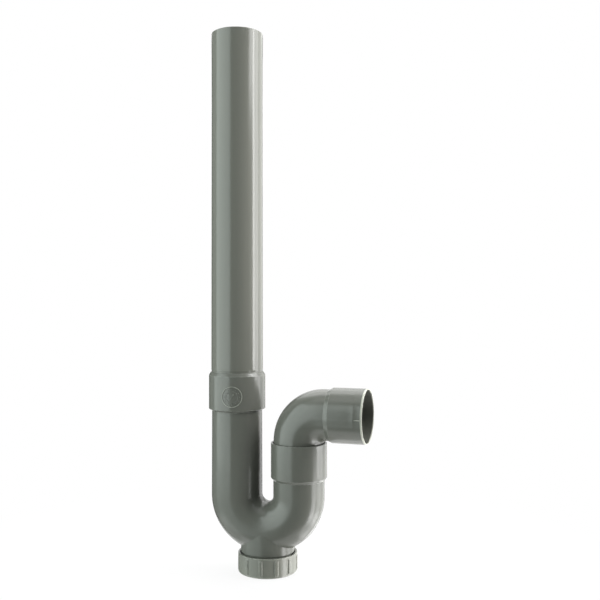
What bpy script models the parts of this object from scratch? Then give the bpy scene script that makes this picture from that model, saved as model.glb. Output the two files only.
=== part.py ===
"""A 40 mm washing machine trap: tall standpipe, U-bend with a screw cleanout, swivelling 90 degree outlet.

Lengths below are in millimetres. The outlet runs along +X and the legs stand along Z. The trap is drawn in
the plane y = 0 and then turned a little about the outlet leg, the joint that the elbow swivels on. The origin
of the finished object is the centre of the outlet's mouth.
"""

from math import cos, pi, radians, sin, sqrt, tau

import bmesh
import bpy
from mathutils import Matrix, Vector

MM = 0.001
AROUND = 48  # facets round a pipe
GAP = 0.35  # clearance left between two pieces that touch on the real object

# Trap body: both legs, the bend, the two sockets and the cleanout neck
LEG_SPACING = 49.68
LEG_R = 19.76
BORE_R = 17.6
BEND_DROP = 66.59  # from the foot of the inlet socket down to the bend's centre
BEND_R = LEG_SPACING / 2
BEND_STEPS = 26
INLET_SOCKET_R = 22.0
INLET_SOCKET_TOP = 28.31
INLET_BORE_R = 20.3
PIPE_STOP_Z = 4.0
RIGHT_SOCKET_R = 21.62
RIGHT_SOCKET_TOP = -25.2
RIGHT_SOCKET_FOOT = -53.8
RIGHT_BORE_R = 20.0
SPIGOT_STOP_Z = -49.6

# Standpipe
PIPE_R = 19.95
PIPE_FOOT_R = 20.15
PIPE_BORE_R = 18.2
PIPE_TOP = 292.31
PIPE_TOP_R = 20.1

# Outlet elbow
ELBOW_R = 19.56
ELBOW_BEND_R = 20.72
ELBOW_STEPS = 16
OUTLET_Z = -3.23
SPIGOT_END = -48.6
OUTLET_SOCKET_R = 21.0
OUTLET_BORE_R = 20.1
OUTLET_STEP_X = 24.7  # from the right leg's axis to where the outlet socket starts
OUTLET_STOP_X = 28.8
OUTLET_MOUTH_X = 54.43
SWIVEL = radians(4.5)  # how far the trap is turned about the outlet leg, from in line with the outlet

# Cleanout neck, thread, cap and seal
NECK_R = 19.45
NECK_SHOULDER_R = 19.7  # above the thread
NECK_SHOULDER_Z = -109.4
NECK_BORE_R = 16.9
NECK_END = -120.6
THREAD_PITCH = 4.0
THREAD_TOP = -111.0
NECK_THREAD_TURNS = 2.0
NECK_THREAD_CREST = 20.5
CAP_THREAD_TURNS = 1.75
CAP_THREAD_CREST = 19.92
THREAD_HALF_ROOT = 1.1
THREAD_HALF_CREST = 0.55
CAP_R = 22.85
CAP_BORE_R = 20.9
CAP_TOP = -110.32
CAP_BOTTOM = -125.23
CAP_FLOOR = 2.0
RIBS = 12
RIB_FACETS = 8  # facets from one rib to the next
RIB_PROUD = 0.6
RIB_TURN = radians(1.7)
SEAL_BORE_R = 17.3
SEAL_R = 20.5
SEAL_THICK = 2.0

LEFT_X = -(LEG_SPACING + OUTLET_MOUTH_X)
RIGHT_X = -OUTLET_MOUTH_X
NECK_X = LEFT_X + BEND_R
BEND_Z = -BEND_DROP

X, Y, Z = Vector((1, 0, 0)), Vector((0, 1, 0)), Vector((0, 0, 1))


def clear_scene():
    for obj in list(bpy.data.objects):
        bpy.data.objects.remove(obj, do_unlink=True)


def material(name, colour, roughness):
    made = bpy.data.materials.new(name)
    made.use_nodes = True
    shader = made.node_tree.nodes["Principled BSDF"]
    shader.inputs["Base Color"].default_value = (*colour, 1.0)
    shader.inputs["Roughness"].default_value = roughness
    shader.inputs["Metallic"].default_value = 0.0
    return made


def ring(centre, u, v, radius, count=AROUND):
    """Points round a circle; radius is a number, or a function of the angle from u."""
    points = []
    for i in range(count):
        a = tau * i / count
        r = radius(a) if callable(radius) else radius
        points.append(centre + (u * cos(a) + v * sin(a)) * r)
    return points


def skin(name, rings, loop=False, swivel=SWIVEL):
    """An object whose surface runs through the rings, either back to the first one or closed by flat ends."""
    bm = bmesh.new()
    axis = Vector((RIGHT_X, 0, 0))
    turned = Matrix.Rotation(swivel, 4, "Z") @ Matrix.Translation(-axis)
    placing = Matrix.Translation(axis - Z * OUTLET_Z) @ turned
    rows = [[bm.verts.new((placing @ p) * MM) for p in points] for points in rings]
    pairs = list(zip(rows, rows[1:])) + ([(rows[-1], rows[0])] if loop else [])
    for low, high in pairs:
        for j in range(len(low)):
            k = (j + 1) % len(low)
            bm.faces.new((low[j], low[k], high[k], high[j]))
    if not loop:
        bm.faces.new(reversed(rows[0]))
        bm.faces.new(rows[-1])
    bmesh.ops.recalc_face_normals(bm, faces=bm.faces)
    mesh = bpy.data.meshes.new(name)
    bm.to_mesh(mesh)
    bm.free()
    obj = bpy.data.objects.new(name, mesh)
    bpy.context.scene.collection.objects.link(obj)
    return obj


def upright(x, profile, count=AROUND):
    """Rings round the vertical axis at x, one for each (height, radius)."""
    return [ring(Vector((x, 0, z)), X, Y, r, count) for z, r in profile]


def trap_path(left, bend_r, right):
    """Rings down the left leg, round the bend and up the right leg."""
    rings = [ring(Vector((LEFT_X, 0, z)), -X, Y, r) for z, r in left]
    centre = Vector((NECK_X, 0, BEND_Z))
    for i in range(BEND_STEPS + 1):
        a = pi * i / BEND_STEPS
        out = -X * cos(a) - Z * sin(a)
        rings.append(ring(centre + out * BEND_R, out, Y, bend_r))
    return rings + [ring(Vector((RIGHT_X, 0, z)), X, Y, r) for z, r in right]


def elbow_path(spigot, bend_r, outlet):
    """Rings up the spigot, round the elbow and out along +X."""
    rings = [ring(Vector((RIGHT_X, 0, z)), -X, -Y, r) for z, r in spigot]
    centre = Vector((RIGHT_X + ELBOW_BEND_R, 0, OUTLET_Z - ELBOW_BEND_R))
    for i in range(ELBOW_STEPS + 1):
        a = pi / 2 * i / ELBOW_STEPS
        out = -X * cos(a) + Z * sin(a)
        rings.append(ring(centre + out * ELBOW_BEND_R, out, -Y, bend_r))
    return rings + [ring(Vector((RIGHT_X + x, 0, OUTLET_Z)), Z, -Y, r) for x, r in outlet]


def thread(name, x, top, turns, crest, root):
    """A right-handed ridge wound round the axis at x, fading out at both ends. It winds down from top."""
    steps = int(turns * AROUND)
    rings = []
    for i in range(steps + 1):
        a = -tau * i / AROUND
        z = top - THREAD_PITCH * i / AROUND
        near = min(i, steps - i) / (AROUND / 6)
        height = min(1.0, 0.08 + near)
        out = X * cos(a) + Y * sin(a)
        tip = root + (crest - root) * height
        foot = root - (crest - root) * 0.35
        axis = Vector((x, 0, z))
        rings.append([
            axis + out * foot - Z * THREAD_HALF_ROOT,
            axis + out * tip - Z * THREAD_HALF_CREST,
            axis + out * tip + Z * THREAD_HALF_CREST,
            axis + out * foot + Z * THREAD_HALF_ROOT,
        ])
    return skin(name, rings)


def combine(target, other, operation):
    """Applies a Boolean and hides the tool."""
    modifier = target.modifiers.new(operation.title() + " " + other.name, "BOOLEAN")
    modifier.operation = operation
    modifier.solver = "EXACT"
    modifier.object = other
    other.hide_render = True
    other.display_type = "WIRE"


def finish(obj, surface, sharp=radians(35)):
    obj.data.materials.append(surface)
    obj.data.shade_smooth()
    obj.data.set_sharp_from_angle(angle=sharp)


def standpipe():
    profile = [
        (PIPE_STOP_Z + 0.4, PIPE_R - 0.5),
        (PIPE_STOP_Z + 1.4, PIPE_R),
        (INLET_SOCKET_TOP + 0.6, PIPE_R),
        (INLET_SOCKET_TOP + 2.2, PIPE_FOOT_R),
        (PIPE_TOP - 52, PIPE_R - 0.05),
        (PIPE_TOP - 26, PIPE_R),
        (PIPE_TOP - 0.4, PIPE_TOP_R),
        (PIPE_TOP, PIPE_TOP_R - 0.4),
        (PIPE_TOP, PIPE_BORE_R + 0.3),
        (PIPE_TOP - 0.3, PIPE_BORE_R),
        (PIPE_STOP_Z + 0.4, PIPE_BORE_R),
    ]
    return skin("standpipe", upright(LEFT_X, profile, 64), loop=True)


def trap_body():
    outside = trap_path(
        [
            (INLET_SOCKET_TOP, INLET_BORE_R + 0.45),
            (INLET_SOCKET_TOP - 2.5, INLET_SOCKET_R),
            (-0.1, INLET_SOCKET_R),
            (-1.5, LEG_R - 0.2),
            (-24.0, LEG_R - 0.1),
        ],
        LEG_R,
        [
            (RIGHT_SOCKET_FOOT, LEG_R),
            (RIGHT_SOCKET_FOOT + 2.1, RIGHT_SOCKET_R),
            (RIGHT_SOCKET_TOP - 0.4, RIGHT_SOCKET_R),
            (RIGHT_SOCKET_TOP, RIGHT_SOCKET_R - 0.3),
        ],
    )
    passage = trap_path(
        [
            (INLET_SOCKET_TOP + 3, INLET_BORE_R),
            (PIPE_STOP_Z, INLET_BORE_R),
            (PIPE_STOP_Z, BORE_R),
        ],
        BORE_R,
        [
            (SPIGOT_STOP_Z, BORE_R),
            (SPIGOT_STOP_Z, RIGHT_BORE_R),
            (RIGHT_SOCKET_TOP - 0.7, RIGHT_BORE_R),
            (RIGHT_SOCKET_TOP + 1.4, RIGHT_BORE_R + 0.6),
        ],
    )
    body = skin("trap_body", outside)
    neck = [
        (NECK_END, NECK_R - 0.6),
        (NECK_END + 0.7, NECK_R),
        (NECK_SHOULDER_Z - 0.5, NECK_R),
        (NECK_SHOULDER_Z, NECK_SHOULDER_R),
        (BEND_Z - BEND_R, NECK_SHOULDER_R),
    ]
    combine(body, skin("neck", upright(NECK_X, neck)), "UNION")
    ridge = thread("neck_thread", NECK_X, THREAD_TOP, NECK_THREAD_TURNS, NECK_THREAD_CREST, NECK_R)
    combine(body, ridge, "UNION")
    combine(body, skin("passage", passage), "DIFFERENCE")
    way_in = [(NECK_END - 2, NECK_BORE_R), (BEND_Z - BEND_R, NECK_BORE_R)]
    combine(body, skin("cleanout_bore", upright(NECK_X, way_in)), "DIFFERENCE")
    return body


def outlet_elbow():
    outside = elbow_path(
        [(SPIGOT_END, ELBOW_R - 0.5), (SPIGOT_END + 1, ELBOW_R)],
        ELBOW_R,
        [
            (OUTLET_STEP_X, ELBOW_R),
            (OUTLET_STEP_X + 3.2, OUTLET_SOCKET_R),
            (OUTLET_MOUTH_X - 0.5, OUTLET_SOCKET_R),
            (OUTLET_MOUTH_X, OUTLET_SOCKET_R - 0.3),
        ],
    )
    inside = elbow_path(
        [(SPIGOT_END, BORE_R)],
        BORE_R,
        [
            (OUTLET_STOP_X, BORE_R),
            (OUTLET_STOP_X, OUTLET_BORE_R),
            (OUTLET_MOUTH_X - 0.6, OUTLET_BORE_R),
            (OUTLET_MOUTH_X, OUTLET_BORE_R + 0.25),
        ],
    )
    return skin("outlet_elbow", outside + inside[::-1], loop=True, swivel=0)


def rib_profile(height):
    """Radius against angle for the cap's ribbed side, where height is how far the ribs stand out."""

    def radius(a):
        across = ((a - RIB_TURN + pi / 2) * RIBS / tau + 0.5) % 1.0 - 0.5
        reach = abs(across) / 0.19
        return CAP_R + height * sqrt(max(0.0, 1 - reach * reach))

    return radius


def cleanout_cap():
    count = RIBS * RIB_FACETS * 2
    centre = Vector((NECK_X, 0, 0))
    sides = [
        (CAP_BOTTOM, CAP_R - 1.1),
        (CAP_BOTTOM + 1.0, CAP_R - 0.1),
        (CAP_BOTTOM + 1.2, CAP_R),
        (CAP_BOTTOM + 1.9, rib_profile(RIB_PROUD * 0.8)),
        (CAP_BOTTOM + 2.6, rib_profile(RIB_PROUD)),
        (CAP_TOP - 1.2, rib_profile(RIB_PROUD)),
        (CAP_TOP - 0.6, rib_profile(RIB_PROUD * 0.7)),
        (CAP_TOP - 0.3, CAP_R),
        (CAP_TOP, CAP_R - 0.3),
        (CAP_TOP, CAP_BORE_R + 0.4),
        (CAP_TOP - 0.5, CAP_BORE_R),
        (CAP_BOTTOM + CAP_FLOOR, CAP_BORE_R),
    ]
    cap = skin("cleanout_cap", [ring(centre + Z * z, X, Y, r, count) for z, r in sides])
    top = THREAD_TOP - THREAD_PITCH / 2
    ridge = thread("cap_thread", NECK_X, top, CAP_THREAD_TURNS, CAP_THREAD_CREST, CAP_BORE_R)
    combine(cap, ridge, "UNION")
    return cap


def cleanout_gasket():
    low = CAP_BOTTOM + CAP_FLOOR + 0.3
    high = low + SEAL_THICK
    profile = [
        (low, SEAL_R - 0.3),
        (low + 0.3, SEAL_R),
        (high - 0.3, SEAL_R),
        (high, SEAL_R - 0.3),
        (high, SEAL_BORE_R + 0.3),
        (high - 0.3, SEAL_BORE_R),
        (low + 0.3, SEAL_BORE_R),
        (low, SEAL_BORE_R + 0.3),
    ]
    return skin("cleanout_gasket", upright(NECK_X, profile), loop=True)


clear_scene()
finish(standpipe(), material("pipe_plastic", (0.26, 0.27, 0.24), 0.32))
finish(trap_body(), material("trap_plastic", (0.24, 0.25, 0.22), 0.30))
finish(outlet_elbow(), material("elbow_plastic", (0.25, 0.26, 0.23), 0.30))
finish(cleanout_cap(), material("cap_plastic", (0.36, 0.36, 0.32), 0.38))
finish(cleanout_gasket(), material("seal_rubber", (0.03, 0.03, 0.03), 0.8))
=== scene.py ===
import math
from math import cos, pi, radians, sin, tau

import bmesh
import bpy
import numpy as np
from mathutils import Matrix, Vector


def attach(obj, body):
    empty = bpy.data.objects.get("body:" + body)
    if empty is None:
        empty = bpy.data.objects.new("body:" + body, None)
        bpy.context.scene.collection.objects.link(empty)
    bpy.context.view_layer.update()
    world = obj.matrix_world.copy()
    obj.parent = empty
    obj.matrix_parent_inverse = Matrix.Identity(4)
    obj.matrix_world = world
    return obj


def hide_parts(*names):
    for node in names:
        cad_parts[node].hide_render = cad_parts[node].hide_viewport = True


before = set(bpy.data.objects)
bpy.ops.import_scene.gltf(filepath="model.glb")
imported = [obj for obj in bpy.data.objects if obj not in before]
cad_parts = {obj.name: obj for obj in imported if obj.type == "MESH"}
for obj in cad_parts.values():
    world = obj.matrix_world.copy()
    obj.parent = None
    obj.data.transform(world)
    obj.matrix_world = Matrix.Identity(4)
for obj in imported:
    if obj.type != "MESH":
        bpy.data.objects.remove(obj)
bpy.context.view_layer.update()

# ---------------------------------------------------------------- sizes, in millimetres
# Heights count from the foot of the inlet socket, while the frame's origin is the outlet mouth's centre.
OUTLET_Z = -3.23
LEG_SPACING = 49.68
OUTLET_MOUTH_X = 54.43
SWIVEL = radians(4.5)  # how far the trap is turned about the outlet leg
LEFT_X = -(LEG_SPACING + OUTLET_MOUTH_X)
RIGHT_X = -OUTLET_MOUTH_X
BEND_R = LEG_SPACING / 2
NECK_X = LEFT_X + BEND_R
BEND_Z = -66.59
LEG_R = 19.76
LEG_TAPER = 0.16  # how much slimmer the left leg is under its socket
BORE_R = 17.6
INLET_R = 22.02  # the inlet socket, outside
INLET_BORE_R = 20.18
INLET_TOP = 28.31
INLET_STOP = 4.0  # the stop under the standpipe
RIGHT_R = 21.6  # the trap's other socket, outside
RIGHT_TOP = -25.2
RIGHT_STOP = -49.6
SPIGOT_END = -48.6
OUTLET_R = 21.0  # the elbow's socket, outside
OUTLET_BORE_R = 20.1
OUTLET_STOP = 28.8
PIPE_BORE_R = 18.2
PIPE_FOOT = 4.4
PIPE_TOP = 292.31
ELBOW_R = 19.56
ELBOW_BEND_R = 20.72
PITCH = 4.0
THREAD_TOP = -111.0
CAP_TOP = -110.32
CAP_BOTTOM = -125.23
CAP_FLOOR = -123.23
CAP_R = 22.85
CAP_BORE_R = 20.9
RIBS = 12
RIB_TURN = radians(1.7)
RIB_PROUD = 0.6
RIB_HALF = 1.55  # half a rib's width at its base
RIB_LOW = -123.7
RIB_HIGH = -111.7
THREAD_R = 20.5  # over the crests of the neck's thread
NECK_BORE_R = 16.9
NECK_R = 19.45
NECK_END = -120.6
NECK_SHOULDER_Z = -109.7
SHOULDER_R = 19.7
SHOULDER_WIDER = 1.15  # how much wider the shoulder is along the bend than across it
FILLET_R = 1.3
DIAL_Z = 10.7
DIAL_FACING = radians(6.4)
DIAL_TURN = radians(60)  # where its pointer points
DIAL_TICKS = 12
DIAL_FLOOR = 0.14  # how deep its face is sunk
MARK_START = 48.3  # of the raised line on the outlet socket
MARK_LENGTH = 5.2
LIP_X = 53.1  # where the outlet's paler lip starts, painted pale as trimmed plastic and as a highlight of its rim
CUT_LIP_AND_HIGHLIGHT = 2.0  # the edge value that paints the lip pale: trimmed plastic and a painted highlight
PARTING = 0.05  # how far a parting line stands out

X, Y, Z = (np.array(v, float) for v in ((1, 0, 0), (0, 1, 0), (0, 0, 1)))
FINE = 192  # points round a pipe
STEP = 4.0  # about how far apart the rings along a leg or a socket are


# ---------------------------------------------------------------- mesh building
def rounded(points, steps=5, hold=0.22):
    """A profile of (along, radius, fillet) corners as (along, radius, edge): each fillet becomes an arc.

    A holding point on either side keeps the flats beside it flat in shading. edge is 1 on an arc, 0 off it.
    """
    made = []
    for i, (s, r, fillet) in enumerate(points):
        here = np.array([s, r], float)
        if fillet <= 0 or i in (0, len(points) - 1):
            made.append((s, r, 0.0))
            continue
        before, after = (np.array(points[j][:2], float) - here for j in (i - 1, i + 1))
        room = [np.linalg.norm(before), np.linalg.norm(after)]
        before, after = before / room[0], after / room[1]
        turn = math.acos(max(-1.0, min(1.0, float(before @ after))))
        reach = min(fillet / math.tan(turn / 2), 0.48 * room[0], 0.48 * room[1])
        ends = here + before * reach, here + after * reach
        if room[0] > reach + 2.5 * hold:
            made.append((*(ends[0] + before * hold), 0.0))
        for k in range(steps + 1):
            t = k / steps
            p = ends[0] * (1 - t) ** 2 + here * 2 * t * (1 - t) + ends[1] * t * t
            made.append((*p, 1.0 if 0 < k < steps else 0.5))
        if room[1] > reach + 2.5 * hold:
            made.append((*(ends[1] + after * hold), 0.0))
    return made


def ring(centre, u, v, radius, count=FINE):
    """Points round a circle; radius is one number or one for each point."""
    a = np.arange(count) * tau / count
    out = np.outer(np.cos(a), u) + np.outer(np.sin(a), v)
    return np.asarray(centre, float) + out * np.reshape(radius, (-1, 1))


def mesh_object(name, points, faces, edge=None, swivel=SWIVEL):
    """An object in the frame from points in millimetres, turned about the outlet leg."""
    mesh = bpy.data.meshes.new(name)
    axis = np.array([RIGHT_X, 0, 0])
    turn = np.array([[cos(swivel), -sin(swivel), 0], [sin(swivel), cos(swivel), 0], [0, 0, 1]])
    where = ((np.asarray(points, float) - axis) @ turn.T + axis - Z * OUTLET_Z) * 0.001
    mesh.from_pydata(where.tolist(), [], faces)
    bm = bmesh.new()
    bm.from_mesh(mesh)
    bmesh.ops.recalc_face_normals(bm, faces=bm.faces)
    bm.to_mesh(mesh)
    bm.free()
    if edge is not None:
        wear_and_highlight = mesh.attributes.new("edge", "FLOAT", "POINT")
        wear_and_highlight.data.foreach_set("value", np.asarray(edge, np.float32))
    mesh.shade_smooth()
    obj = bpy.data.objects.new(name, mesh)
    bpy.context.scene.collection.objects.link(obj)
    return obj


def skin(name, rings, edges=None, loop=False, swivel=SWIVEL):
    """A surface through the rings, back to the first one or closed by flat ends."""
    n = len(rings[0])
    faces = []
    last = len(rings) if loop else len(rings) - 1
    for i in range(last):
        a, b = i * n, (i + 1) % len(rings) * n
        for j in range(n):
            k = (j + 1) % n
            faces.append((a + j, a + k, b + k, b + j))
    if not loop:
        faces.append(tuple(range(n - 1, -1, -1)))
        faces.append(tuple(range((len(rings) - 1) * n, len(rings) * n)))
    edge = np.concatenate([np.broadcast_to(e, n) for e in edges]) if edges is not None else None
    return mesh_object(name, np.concatenate(rings), faces, edge, swivel)


def upright(x, profile, count=FINE):
    """Rings and their edge values round the vertical axis at x, for (height, radius, edge)."""
    return [ring((x, 0, z), X, Y, r, count) for z, r, _ in profile], [e for *_, e in profile]


def spaced(start, stop, step):
    """Heights from start to stop, about step apart, without the ends."""
    count = max(1, int(abs(stop - start) / step))
    return [start + (stop - start) * i / count for i in range(1, count)]


def divided(profile, step):
    """The profile with points added wherever two of its own are further apart than step."""
    made = [profile[0]]
    for before, after in zip(profile, profile[1:]):
        gap = math.hypot(after[0] - before[0], after[1] - before[1])
        count = max(1, math.ceil(gap / step))
        for i in range(1, count + 1):
            t = i / count
            made.append(tuple(a * (1 - t) + b * t for a, b in zip(before, after)))
    return made


def smooth(value):
    """0 below 0, 1 above 1, and an easy curve between."""
    t = np.clip(value, 0, 1)
    return t * t * (3 - 2 * t)


def apply_modifiers(obj):
    """Turns the object's evaluated shape into its mesh."""
    graph = bpy.context.evaluated_depsgraph_get()
    made = bpy.data.meshes.new_from_object(obj.evaluated_get(graph), depsgraph=graph)
    obj.modifiers.clear()
    obj.data = made


def place(vertex):
    """A key that tells vertices apart by where they are."""
    return tuple(round(c, 7) for c in vertex.co)


def combine(target, other, operation):
    """Adds other to target, or cuts it out of target, and removes it. Its edge values come along with it."""
    added = {}
    if operation == "UNION" and "edge" in other.data.attributes:
        values = other.data.attributes["edge"].data
        added = {place(v): values[v.index].value for v in other.data.vertices}
    modifier = target.modifiers.new(operation.title(), "BOOLEAN")
    modifier.operation, modifier.solver, modifier.object = operation, "EXACT", other
    apply_modifiers(target)
    bpy.data.objects.remove(other)
    if added:
        values = target.data.attributes["edge"].data
        for v in target.data.vertices:
            values[v.index].value = added.get(place(v), values[v.index].value)


# ---------------------------------------------------------------- trap body
def parted(rings):
    """Raises the faint line that the mould's two halves leave, on the outer and the inner side of a bend."""
    for points in rings:
        middle = points.mean(axis=0)
        for i in (0, FINE // 2):
            out = points[i] - middle
            points[i] += out / np.linalg.norm(out) * PARTING
    return rings


def trap_path(left, bend_r, right, steps):
    """Rings down the left leg, round the bend and up the right leg."""
    rings = [ring((LEFT_X, 0, z), -X, Y, r) for z, r, _ in left]
    edges = [e for *_, e in left]
    for i in range(steps + 1):
        a = pi * i / steps
        out = -X * cos(a) - Z * sin(a)
        rings.append(ring(np.array([NECK_X, 0, BEND_Z]) + out * BEND_R, out, Y, bend_r))
        edges.append(0.0)
    rings += [ring((RIGHT_X, 0, z), X, Y, r) for z, r, _ in right]
    return rings, edges + [e for *_, e in right]


def trap_tube():
    """Both legs, the bend and the two sockets, as one walled tube."""
    left = rounded([
        (20.0, INLET_BORE_R, 0),
        (INLET_TOP, INLET_BORE_R, 0.15),
        (INLET_TOP, 20.62, 0.2),
        (25.9, INLET_R, 0.9),
        (-0.1, INLET_R, 0.55),
        (-1.5, 19.58, 0.5),
        (-9.0, 19.6, 0),
    ])
    left = divided(left, STEP)
    left += [(z, LEG_R - LEG_TAPER * (z + 62) / 53, 0.0) for z in spaced(-9.0, -62.0, STEP)]
    up = divided(rounded([
        (-60.0, LEG_R, 0),
        (-53.8, LEG_R, 0.5),
        (-51.7, RIGHT_R, 0.5),
        (RIGHT_TOP, RIGHT_R, 0.35),
        (RIGHT_TOP, 21.0, 0),
    ]), STEP)
    down = rounded([
        (RIGHT_TOP, 20.9, 0),
        (RIGHT_TOP, 20.35, 0.3),
        (-26.2, 20.0, 0.5),
        (RIGHT_STOP, 20.0, 0.3),
        (RIGHT_STOP, BORE_R, 0.3),
        (-58.0, BORE_R, 0),
    ])
    outer, outer_edges = trap_path(left, LEG_R, up, 96)
    outer = parted(outer)
    outer += [ring((RIGHT_X, 0, z), X, Y, r) for z, r, _ in down]
    outer_edges += [e for *_, e in down]
    inner_left = rounded([
        (-50.0, BORE_R, 0),
        (INLET_STOP, BORE_R, 0.3),
        (INLET_STOP, INLET_BORE_R, 0.3),
        (12.0, INLET_BORE_R, 0),
    ])
    inner, inner_edges = trap_path(inner_left[::-1], BORE_R, [(-62.0, BORE_R, 0.0)], 64)
    return skin("trap_shell", outer + inner[::-1], outer_edges + inner_edges[::-1], loop=True)


def ridge(angle, z, top, turns, height, half_root=1.1, half_crest=0.5):
    """How far a right-handed thread that winds down from top stands out at each angle and height."""
    u = np.round((top - z) / PITCH + angle / tau) - angle / tau
    u = np.where(u < 0, u + 1, u)
    off = np.abs(z - (top - PITCH * u))
    side = smooth((half_root - off) / (half_root - half_crest))
    return height * side * smooth(np.minimum(u, turns - u) / 0.12)


def neck():
    """The threaded cleanout neck, solid until it is drilled. A rolled fillet blends its top into the bend."""
    a = np.arange(FINE) * tau / FINE
    cosine, sine = np.cos(a), np.sin(a)
    centre = np.array([NECK_X, 0, 0])
    shoulder = SHOULDER_R + SHOULDER_WIDER * cosine ** 2
    rings, edges = [], []

    def add(r, z, edge=0.0):
        rings.append(centre + np.stack([r * cosine, r * sine, np.broadcast_to(z, FINE)], 1))
        edges.append(edge)

    add(np.full(FINE, NECK_R - 0.9), NECK_END)
    add(np.full(FINE, NECK_R - 0.7), NECK_END, 0.5)
    add(np.full(FINE, NECK_R - 0.45), NECK_END + 0.15, 1.0)
    add(np.full(FINE, NECK_R - 0.1), NECK_END + 0.5, 0.5)
    for z in np.arange(NECK_END + 0.7, NECK_SHOULDER_Z, 0.16):
        base = NECK_R + (shoulder - NECK_R) * smooth((z - NECK_SHOULDER_Z + 0.35) / 0.35)
        add(base + ridge(a, np.full(FINE, z), THREAD_TOP, 2.0, THREAD_R - NECK_R), z)

    # the ball that rolls in the corner between the neck and the bend, a hair clear of the bend's facets
    clearance = 0.006
    x, y = (shoulder + FILLET_R) * cosine, (shoulder + FILLET_R) * sine
    ball = LEG_R + clearance + FILLET_R
    reach = BEND_R + np.sqrt(ball ** 2 - y ** 2)
    drop = np.sqrt(reach ** 2 - x ** 2)
    middle = centre + np.stack([x, y, BEND_Z - drop], 1)
    share = (reach - BEND_R) / ball
    normal = np.stack([share * x / reach, y / ball, -share * drop / reach], 1)
    out = np.stack([cosine, sine, np.zeros(FINE)], 1)
    for t in np.linspace(0, 1, 20)[:-1]:
        add(shoulder, NECK_SHOULDER_Z + (BEND_Z - drop - NECK_SHOULDER_Z) * t)
    cross = np.clip((out * normal).sum(1), -1, 1)
    turn = np.arccos(cross)[:, None]
    for t in np.linspace(0, 1, 9):
        mixed = (np.sin((1 - t) * turn) * out + np.sin(t * turn) * normal) / np.sin(turn)
        rings.append(middle - mixed * FILLET_R)
        edges.append(0.0)
    along = out - cross[:, None] * normal
    along /= np.linalg.norm(along, axis=1)[:, None]
    touch = middle - normal * FILLET_R
    rings += [touch + along * 0.3 - normal * 0.08, touch + along * 0.5 - normal * 1.05]
    edges += [0.0, 0.0]

    # its upper end turns in through the middle of the bend's wall and closes in the bore
    root_r, wall_middle_r, plug_top = 17.2, 18.7, -102.0
    wall = BEND_R + np.sqrt(wall_middle_r ** 2 - (root_r * sine) ** 2)
    depth = BEND_Z - np.sqrt(wall ** 2 - (root_r * cosine) ** 2)
    add(np.full(FINE, root_r), depth)
    add(np.full(FINE, 9.0), depth * 0.4 + plug_top * 0.6)
    add(np.full(FINE, 0.5), plug_top)
    return skin("neck", rings, edges)


def dial():
    """The moulded date dial on the inlet socket: two circles, twelve ticks and a pointer, with no figures."""
    count = 240
    back = 0.9  # how far behind the socket's face its solid goes
    a = np.arange(count) * tau / count

    def band(distance, half, flank=0.22):
        return smooth((half - np.abs(distance)) / flank + 0.5)

    def lines(rho, u, v):
        """How far the raised lines stand above the dial's sunken face."""
        spoke = ((a / tau * DIAL_TICKS + 0.5) % 1.0 - 0.5) * tau / DIAL_TICKS * rho
        shaft_u = u * cos(DIAL_TURN) + v * sin(DIAL_TURN)
        shaft_v = v * cos(DIAL_TURN) - u * sin(DIAL_TURN)
        raised = (
            band(spoke, 0.22) * band(rho - 5.9, 0.65) * 0.26,
            band(rho - 7.75, 0.36) * 0.34,
            band(rho - 4.45, 0.2) * 0.22,
            band(shaft_v, 0.24) * band(shaft_u - 0.2, 2.6) * 0.26,
            band(shaft_v, np.clip((3.5 - shaft_u) * 0.62, -0.2, 1.2)) * band(shaft_u - 2.6, 1.0) * 0.26,
        )
        return np.maximum.reduce([np.broadcast_to(line, count) for line in raised])

    def row(rho, depth=0.0):
        u, v = rho * np.cos(a), rho * np.sin(a)
        raised = np.zeros(count) if depth else lines(rho, u, v)
        stands = -depth if depth else raised - DIAL_FLOOR + DIAL_FLOOR * np.minimum(raised / 0.2, 1)
        r = INLET_R + stands
        turn = DIAL_FACING + u / INLET_R
        points = np.stack([LEFT_X + r * np.sin(turn), -r * np.cos(turn), DIAL_Z + v], 1)
        return points, np.minimum(raised / 0.24, 1.3)

    radii = np.concatenate([[0.05], np.arange(0.2, 8.5, 0.12)])
    rows = [row(rho) for rho in radii] + [row(radii[-1], back), row(radii[0], back)]
    rings, edges = zip(*rows)
    return skin("dial", rings, edges)


def trap_shell():
    """The whole trap moulding: the tube, the drilled neck under it and the dial on its socket."""
    shell = trap_tube()
    combine(shell, neck(), "UNION")
    drill = [
        (-125.0, 17.7, 0),
        (-121.0, 17.7, 0),
        (-120.2, NECK_BORE_R, 0),
        (-119.9, NECK_BORE_R, 0),
        (BEND_Z - BEND_R, NECK_BORE_R, 0),
    ]
    combine(shell, skin("neck_drill", upright(NECK_X, drill)[0]), "DIFFERENCE")
    combine(shell, dial(), "UNION")
    return shell


# ---------------------------------------------------------------- outlet elbow
def elbow_path(spigot, bend_r, outlet, steps):
    """Rings up the spigot, round the elbow and out along +X."""
    rings = [ring((RIGHT_X, 0, z), -X, -Y, r) for z, r, _ in spigot]
    edges = [e for *_, e in spigot]
    centre = np.array([RIGHT_X + ELBOW_BEND_R, 0, OUTLET_Z - ELBOW_BEND_R])
    for i in range(steps + 1):
        a = pi / 2 * i / steps
        out = -X * cos(a) + Z * sin(a)
        rings.append(ring(centre + out * ELBOW_BEND_R, out, -Y, bend_r))
        edges.append(0.0)
    rings += [ring((RIGHT_X + x, 0, OUTLET_Z), Z, -Y, r) for x, r, _ in outlet]
    return rings, edges + [e for *_, e in outlet]


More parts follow.
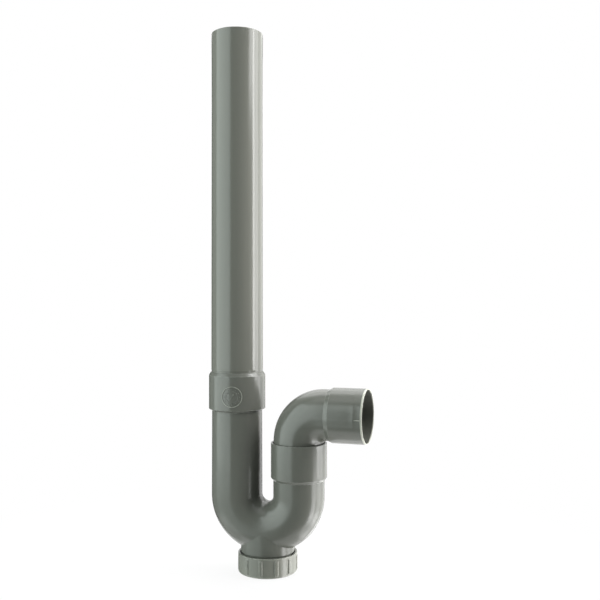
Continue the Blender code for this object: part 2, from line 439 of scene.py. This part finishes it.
def gate_mark():
    """The short raised line on the front of the outlet socket, where it runs out to the rim."""
    rings = []
    for t in np.linspace(0, 1, 15):
        size = math.sqrt(max(0.02, 1 - (2 * t - 1) ** 6))
        centre = (RIGHT_X + MARK_START + MARK_LENGTH * t, 0.04 - OUTLET_R, OUTLET_Z - 0.3)
        rings.append(ring(centre, Z * 0.32 * size, Y * 0.38 * size, 1.0, 16))
    return skin("gate_mark", rings, [1.5] * len(rings), swivel=0)


def outlet_bend():
    """The whole elbow moulding: the spigot, the bend and the outlet socket."""
    spigot = divided(rounded([
        (SPIGOT_END, 18.2, 0),
        (SPIGOT_END, 19.06, 0.2),
        (-47.6, ELBOW_R, 0.4),
        (-24.6, ELBOW_R, 0),
    ]), STEP)
    socket = rounded([
        (21.4, ELBOW_R, 0),
        (24.7, ELBOW_R, 0.5),
        (27.9, OUTLET_R, 0.8),
        (47.1, OUTLET_R, 0),
        (47.5, OUTLET_R + 0.03, 0),
        (47.9, OUTLET_R, 0),
        (53.0, OUTLET_R, 0),
        (53.2, OUTLET_R + 0.02, 0.1),
        (53.7, OUTLET_R + 0.02, 0.4),
        (OUTLET_MOUTH_X, 20.72, 0.2),
        (OUTLET_MOUTH_X, 20.35, 0),
    ])
    mouth = rounded([
        (OUTLET_MOUTH_X, 20.3, 0.1),
        (OUTLET_MOUTH_X, 20.25, 0.1),
        (53.8, OUTLET_BORE_R, 0.25),
        (OUTLET_STOP, OUTLET_BORE_R, 0.3),
        (OUTLET_STOP, BORE_R, 0.3),
        (22.0, BORE_R, 0),
    ])
    # the lip is painted pale: trimmed plastic and a painted highlight of its rim
    socket = [(x, r, CUT_LIP_AND_HIGHLIGHT if x > LIP_X else edge) for x, r, edge in socket]
    mouth = [(x, r, CUT_LIP_AND_HIGHLIGHT if x > LIP_X + 0.6 else edge) for x, r, edge in mouth]
    outer, outer_edges = elbow_path(spigot, ELBOW_R, divided(socket, STEP), 72)
    outer = parted(outer)
    foot = [(SPIGOT_END, 18.1, 0.0), (-48.2, BORE_R, 0.0)]
    inner, inner_edges = elbow_path(foot, BORE_R, mouth[::-1], 40)
    bend = skin("outlet_bend", outer + inner[::-1], outer_edges + inner_edges[::-1], loop=True, swivel=0)
    combine(bend, gate_mark(), "UNION")
    return bend


# ---------------------------------------------------------------- standpipe
def standpipe_tube():
    """An extruded pipe, a little wider at its foot and at its top, with its cut ends eased."""
    outside = rounded([
        (PIPE_FOOT, 18.6, 0),
        (PIPE_FOOT, 19.45, 0.3),
        (5.4, 19.95, 0.4),
        (28.9, 19.95, 0.6),
        (30.5, 20.15, 1.2),
        (240.3, 19.9, 0),
        (266.3, 19.95, 0),
        (291.9, 20.1, 0.3),
        (PIPE_TOP, 19.75, 0.2),
        (PIPE_TOP, 18.6, 0),
    ])
    inside = rounded([
        (PIPE_TOP, 18.55, 0),
        (PIPE_TOP, 18.4, 0.1),
        (292.0, PIPE_BORE_R, 0.3),
        (5.0, PIPE_BORE_R, 0.3),
        (PIPE_FOOT, 18.5, 0),
    ])

    def swayed(z, r):
        """The outer face varies by a hundredth of a millimetre along its length, as an extruded pipe does."""
        return r + 0.012 * sin(z * 0.13) + 0.008 * sin(z * 0.31 + 1.0) if r > 19.8 else r

    profile = divided(outside, 5.0) + divided(inside, 12.0)
    rings, edges = upright(LEFT_X, [(z, swayed(z, r), edge) for z, r, edge in profile])
    return skin("standpipe_tube", rings, edges, loop=True)


# ---------------------------------------------------------------- cleanout cap and seal
def cap_moulding():
    """The ribbed screw cap, with its own thread inside."""
    count = 480
    a = np.arange(count) * tau / count
    outside = divided(rounded([
        (-124.95, 0.4, 0),
        (-124.95, 1.6, 0.2),
        (-124.6, 1.9, 0.2),
        (-124.6, 17.4, 0.5),
        (CAP_BOTTOM, 18.4, 0.4),
        (CAP_BOTTOM, CAP_R, 1.3),
        (CAP_TOP, CAP_R, 0.45),
        (CAP_TOP, 21.5, 0.25),
    ], 6)[:-1], 0.35)
    inside = divided(rounded([
        (CAP_TOP, 21.9, 0),
        (CAP_TOP, 21.4, 0.25),
        (-111.3, CAP_BORE_R, 0.5),
        (CAP_FLOOR, CAP_BORE_R, 0.5),
        (CAP_FLOOR, 0.4, 0),
    ]), 0.3)
    # the flat parts need few rings
    outside = [p for i, p in enumerate(outside) if p[1] > 17 or i % 6 == 0 or p[2] > 0]
    inside = [p for i, p in enumerate(inside) if p[1] > 20 or i % 12 == 0 or i == len(inside) - 1]
    pitch = CAP_R * tau / RIBS
    across = np.abs(((a - RIB_TURN + pi / 2) * RIBS / tau + 0.5) % 1.0 - 0.5) * pitch
    rib = smooth((RIB_HALF - across) / 0.4) * (0.9 + 0.1 * np.cos(np.minimum(across / 1.5, 1) * pi / 2))
    # the rib shoulders count as edges, so they are lightened: partly wear, partly a painted highlight along
    # each rib
    corner = np.abs(across - 1.1) < 0.3
    rings, edges = [], []
    for z, r, edge in outside:
        ribbed = smooth((z - RIB_LOW) / 1.1) * smooth((RIB_HIGH - z) / 0.7) if r > CAP_R - 0.05 else 0.0
        rings.append(ring((NECK_X, 0, z), X, Y, r + RIB_PROUD * ribbed * rib, count))
        edges.append(edge + 0.8 * ribbed * corner)
    top = THREAD_TOP - PITCH / 2
    for z, r, edge in inside:
        thread = ridge(a, np.full(count, z), top, 1.75, 0.98) if r > CAP_BORE_R - 0.1 else 0.0
        rings.append(ring((NECK_X, 0, z), X, Y, r - thread, count))
        edges.append(edge)
    return skin("cap_moulding", rings, edges)


def seal_ring():
    """The flat rubber seal, with a raised bead on each face."""
    low, high = CAP_BOTTOM + 2.3, CAP_BOTTOM + 4.3
    outer_r, inner_r = 20.5, 17.3
    profile = rounded([
        (low, 18.0, 0),
        (low, 18.6, 0.1),
        (low + 0.12, 18.8, 0.2),
        (low + 0.12, outer_r, 0.35),
        (high - 0.12, outer_r, 0.35),
        (high - 0.12, 19.4, 0.2),
        (high, 19.1, 0.2),
        (high, 18.5, 0.2),
        (high - 0.12, 18.2, 0.2),
        (high - 0.12, inner_r, 0.35),
        (low + 0.12, inner_r, 0.35),
        (low + 0.12, 17.8, 0.1),
    ])
    rings, edges = upright(NECK_X, profile)
    return skin("seal_ring", rings, edges, loop=True)


# ---------------------------------------------------------------- materials
GREY = (0.154, 0.158, 0.137)
WARM = (0.169, 0.170, 0.146)
DARK = (0.134, 0.139, 0.121)
DARK_WARM = (0.148, 0.150, 0.130)
CAP_GREY = (0.200, 0.206, 0.178)
CAP_WARM = (0.222, 0.220, 0.186)
# the outlet lip's paler colour: trimmed plastic and a painted highlight of its rim
CUT_LIP_AND_HIGHLIGHT_COLOUR = (0.50, 0.51, 0.44)
WHITE = (1.0, 1.0, 1.0, 1.0)


class Graph:
    """Builds a material's nodes."""

    def __init__(self, name):
        self.material = bpy.data.materials.new(name)
        self.material.use_nodes = True
        self.nodes = self.material.node_tree.nodes
        self.links = self.material.node_tree.links
        self.shader = self.nodes["Principled BSDF"]

    def add(self, kind, inputs=(), **settings):
        """A node with its settings made and its inputs linked or set, each by its name or its number."""
        node = self.nodes.new(kind)
        for key, value in settings.items():
            setattr(node, key, value)
        for key, value in dict(inputs).items():
            if isinstance(value, bpy.types.NodeSocket):
                self.links.new(value, node.inputs[key])
            else:
                node.inputs[key].default_value = value
        return node

    def noise(self, where, scale, detail, rough):
        inputs = {"Vector": where, "Scale": scale, "Detail": detail, "Roughness": rough}
        return self.add("ShaderNodeTexNoise", inputs).outputs["Fac"]

    def scaled(self, where, scale):
        return self.add("ShaderNodeMapping", {"Vector": where, "Scale": scale}).outputs["Vector"]

    def remap(self, value, low, high, to_low, to_high):
        inputs = {"Value": value, "From Min": low, "From Max": high, "To Min": to_low, "To Max": to_high}
        return self.add("ShaderNodeMapRange", inputs).outputs["Result"]

    def maths(self, operation, a, b):
        return self.add("ShaderNodeMath", {0: a, 1: b}, operation=operation).outputs[0]

    def mix(self, factor, a, b):
        return self.add("ShaderNodeMix", {0: factor, 6: a, 7: b}, data_type="RGBA").outputs[2]


def plastic(name, base, warm, rough, grain=(1.0, 1.0, 1.0), flow=0.5, peel=0.35, wear_and_highlight=0.3):
    """Moulded or extruded PP: clouded colour, speckle, rounded edges lightened as wear and as painted
    highlight, a paler lip as trimmed plastic and as painted highlight, uneven gloss and orange peel.

    grain stretches the clouding along an axis, as the melt flows.
    """
    g = Graph(name)
    where = g.add("ShaderNodeTexCoord").outputs["Object"]
    flowed = g.scaled(where, grain)
    clouds = g.noise(flowed, 38.0, 4.0, 0.55)
    streaks = g.noise(flowed, 240.0, 3.0, 0.6)
    speckle = g.noise(where, 2600.0, 2.0, 0.6)
    edge = g.add("ShaderNodeAttribute", attribute_name="edge").outputs["Fac"]
    scuff_and_highlight = g.maths("MULTIPLY", edge, g.remap(g.noise(where, 420.0, 4.0, 0.65), 0.38, 0.62, 0.25, 1.0))

    deep = tuple(c * 0.93 for c in base)
    pale = tuple(c * 1.07 for c in base)
    colour = g.mix(g.remap(clouds, 0.3, 0.7, 0.0, 1.0), (*deep, 1), (*pale, 1))
    colour = g.mix(g.remap(streaks, 0.35, 0.75, 0.0, flow), colour, (*warm, 1))
    colour = g.mix(g.remap(speckle, 0.25, 0.75, 0.16, 0.0), colour, (*(c * 0.7 for c in base), 1))
    # rounded edges are lightened: partly rubbed wear, partly a painted highlight along the edges
    colour = g.mix(g.maths("MULTIPLY", scuff_and_highlight, wear_and_highlight), colour, (*(min(1.0, c * 1.9) for c in base), 1))
    # edge values above 1 mix in the paler lip colour: fully on the outlet's lip, as trimmed plastic and a
    # painted highlight of the rim, and partly on the gate mark and the dial's raised lines
    colour = g.mix(g.remap(edge, 1.0, CUT_LIP_AND_HIGHLIGHT, 0.0, 1.0), colour, (*CUT_LIP_AND_HIGHLIGHT_COLOUR, 1))
    g.links.new(colour, g.shader.inputs["Base Color"])

    gloss = g.remap(g.noise(flowed, 90.0, 5.0, 0.6), 0.3, 0.7, rough - 0.035, rough + 0.045)
    gloss = g.maths("ADD", gloss, g.maths("MULTIPLY", scuff_and_highlight, 0.12))
    g.links.new(gloss, g.shader.inputs["Roughness"])
    g.shader.inputs["IOR"].default_value = 1.5

    fine = g.noise(where, 1500.0, 2.0, 0.5)
    broad = g.noise(flowed, 130.0, 2.0, 0.5)
    height = g.maths("ADD", g.maths("MULTIPLY", fine, 0.12), g.maths("MULTIPLY", broad, 0.9))
    bump = g.add("ShaderNodeBump", {"Height": height, "Strength": peel, "Distance": 0.00012})
    g.links.new(bump.outputs["Normal"], g.shader.inputs["Normal"])
    return g.material


def rubber(name):
    """Black EPDM with a dusty bloom."""
    g = Graph(name)
    where = g.add("ShaderNodeTexCoord").outputs["Object"]
    bloom = g.noise(where, 300.0, 5.0, 0.65)
    colour = g.mix(g.remap(bloom, 0.35, 0.75, 0.0, 1.0), (0.012, 0.012, 0.013, 1), (0.045, 0.044, 0.042, 1))
    g.links.new(colour, g.shader.inputs["Base Color"])
    g.links.new(g.remap(bloom, 0.3, 0.7, 0.55, 0.8), g.shader.inputs["Roughness"])
    height = g.noise(where, 2400.0, 3.0, 0.6)
    bump = g.add("ShaderNodeBump", {"Height": height, "Strength": 0.4, "Distance": 0.0001})
    g.links.new(bump.outputs["Normal"], g.shader.inputs["Normal"])
    return g.material


# ---------------------------------------------------------------- the object
SHARP = radians(42)  # a corner sharper than this keeps its crease
pieces = [
    (standpipe_tube(), "standpipe", "standpipe", "pipe_plastic",
     plastic("pipe_plastic_look", GREY, WARM, 0.19, grain=(1.0, 1.0, 0.04), peel=0.25)),
    (trap_shell(), "trap", "trap_body", "trap_plastic",
     plastic("trap_plastic_look", DARK, DARK_WARM, 0.21, grain=(1.0, 1.0, 0.5))),
    (outlet_bend(), "elbow", "outlet_elbow", "elbow_plastic",
     plastic("elbow_plastic_look", DARK, DARK_WARM, 0.21, grain=(0.5, 1.0, 1.0))),
    (cap_moulding(), "cap", "cleanout_cap", "cap_plastic",
     plastic("cap_plastic_look", CAP_GREY, CAP_WARM, 0.22, wear_and_highlight=0.35)),
    (seal_ring(), "gasket", "cleanout_gasket", "seal_rubber", rubber("seal_rubber_look")),
]
for obj, body, node, slot, look in pieces:
    obj.data.materials.clear()
    obj.data.materials.append(look)
    obj.data.shade_smooth()
    obj.data.set_sharp_from_angle(angle=SHARP)
    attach(obj, body)
    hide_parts(node)

# ---------------------------------------------------------------- camera
FACING = radians(17.709)  # the camera's heading, left of +Y
camera = bpy.data.objects.new("camera", bpy.data.cameras.new("camera"))
bpy.context.scene.collection.objects.link(camera)
camera.location = (0.13837, -0.60103, 0.08758)
camera.rotation_euler = (pi / 2, 0, FACING)
camera.data.lens = 49.17
camera.data.sensor_width = 36.0
camera.data.clip_start = 0.01
bpy.context.scene.camera = camera

# ---------------------------------------------------------------- studio, in metres and degrees
AIM = Vector((-0.085, 0.0, 0.06))
ROOM = 0.08  # the dim room's radiance
COOL = (0.91, 1.0, 0.98)  # the tint of the lights in front on the left
FLOOR_RADIUS = 6.0
FLOOR_GAP = 0.0004  # between the floor and the cap


def towards(azimuth, elevation):
    """A direction from the object: azimuth is degrees to the right of the camera, elevation degrees up."""
    a, e = radians(azimuth) + FACING, radians(elevation)
    return Vector((sin(a) * cos(e), -cos(a) * cos(e), sin(e)))


def level(z):
    """A point on the object's middle line at height z."""
    return Vector((AIM.x, AIM.y, z))


def softbox(name, azimuth, elevation, distance, width, height, radiance, aim=AIM, tint=WHITE[:3]):
    """A rectangular light that faces aim and isn't seen by the camera."""
    light = bpy.data.lights.new(name, "AREA")
    light.shape = "RECTANGLE"
    light.size, light.size_y = width, height
    light.energy = radiance * width * height * pi
    light.color = tint
    obj = bpy.data.objects.new(name, light)
    bpy.context.scene.collection.objects.link(obj)
    way = towards(azimuth, elevation)
    obj.location = aim + way * distance
    obj.rotation_euler = way.to_track_quat("Z", "Y").to_euler()
    obj.visible_camera = False


def floor():
    """A pale disc seen only by the eye, from above: bright, with a faint shadow at the object's foot."""
    bm = bmesh.new()
    bmesh.ops.create_circle(bm, cap_ends=True, radius=FLOOR_RADIUS, segments=96)
    mesh = bpy.data.meshes.new("floor")
    bm.to_mesh(mesh)
    bm.free()
    obj = bpy.data.objects.new("floor", mesh)
    bpy.context.scene.collection.objects.link(obj)
    obj.location = (-0.08, 0.0, (CAP_BOTTOM - OUTLET_Z) * 0.001 - FLOOR_GAP)
    obj.visible_glossy = obj.visible_diffuse = obj.visible_shadow = False
    g = Graph("floor_look")
    where = g.add("ShaderNodeTexCoord").outputs["Object"]
    far = g.add("ShaderNodeVectorMath", {0: where}, operation="LENGTH").outputs["Value"]
    g.shader.inputs["Base Color"].default_value = (0.82, 0.82, 0.82, 1)
    g.shader.inputs["Roughness"].default_value = 0.7
    glow = g.add("ShaderNodeEmission", {"Color": WHITE, "Strength": 1.0})
    share = g.remap(far, 0.05, 0.3, 0.88, 1.0)
    both = g.add("ShaderNodeMixShader", {0: share, 1: g.shader.outputs[0], 2: glow.outputs[0]})
    clear = g.add("ShaderNodeBsdfTransparent")
    below = g.add("ShaderNodeNewGeometry").outputs["Backfacing"]
    sided = g.add("ShaderNodeMixShader", {0: below, 1: both.outputs[0], 2: clear.outputs[0]})
    g.links.new(sided.outputs[0], g.nodes["Material Output"].inputs["Surface"])
    mesh.materials.append(g.material)


def surroundings():
    """White to the eye, and a dim room to the object."""
    world = bpy.data.worlds.new("studio")
    world.use_nodes = True
    bpy.context.scene.world = world
    nodes, links = world.node_tree.nodes, world.node_tree.links
    room = nodes["Background"]
    room.inputs["Color"].default_value = WHITE
    room.inputs["Strength"].default_value = ROOM
    seen = nodes.new("ShaderNodeBackground")
    seen.inputs["Color"].default_value = WHITE
    both = nodes.new("ShaderNodeMixShader")
    ray = nodes.new("ShaderNodeLightPath")
    links.new(ray.outputs["Is Camera Ray"], both.inputs[0])
    links.new(room.outputs[0], both.inputs[1])
    links.new(seen.outputs[0], both.inputs[2])
    links.new(both.outputs[0], nodes["World Output"].inputs["Surface"])


# name, azimuth, elevation, distance, width, height, radiance
softbox("left_front", -39.3, 0.0, 0.8, 0.302, 1.1, 2.6, aim=level(0.35), tint=COOL)
softbox("left_side", -75.0, 0.0, 0.8, 0.746, 1.1, 2.8, aim=level(0.35), tint=COOL)
softbox("left_low", -64.3, 0.0, 0.8, 1.15, 0.6, 0.9, aim=level(-0.5), tint=COOL)
softbox("left_back", -115.0, 0.0, 0.8, 0.43, 1.7, 0.2, aim=level(0.05))
softbox("right_strip", 82.0, 0.0, 0.8, 0.112, 1.1, 13.0, aim=level(0.35))
softbox("right_strip_low", 70.0, 0.0, 0.8, 0.28, 0.6, 6.0, aim=level(-0.5))
softbox("right_strip_top", 67.0, 0.0, 0.8, 0.28, 0.48, 6.0, aim=level(0.66))
softbox("right_side", 98.0, 0.0, 0.8, 0.34, 1.1, 5.0, aim=level(0.35))
softbox("right_side_low", 98.0, 0.0, 0.8, 0.34, 0.6, 3.6, aim=level(-0.5))
softbox("right_back", 133.0, 0.0, 0.8, 0.68, 1.7, 1.6, aim=level(0.05))
softbox("right_top", 90.0, 50.0, 1.1, 0.9, 0.6, 2.2)
softbox("right_under", 90.0, -50.0, 1.1, 0.9, 0.6, 2.6)
softbox("left_under", -90.0, -50.0, 1.1, 0.9, 0.6, 0.8)
softbox("behind_top", 180.0, 50.0, 1.1, 1.2, 0.8, 2.3)
softbox("behind_under", 180.0, -50.0, 1.1, 1.2, 0.8, 1.2)
softbox("behind", 180.0, 0.0, 0.8, 0.4, 0.9, 1.2)
softbox("overhead", 0.0, 90.0, 0.9, 1.0, 1.0, 1.0)
softbox("under", 0.0, -90.0, 0.9, 1.0, 1.0, 1.0)
floor()
surroundings()
bpy.context.scene.view_settings.view_transform = "Standard"
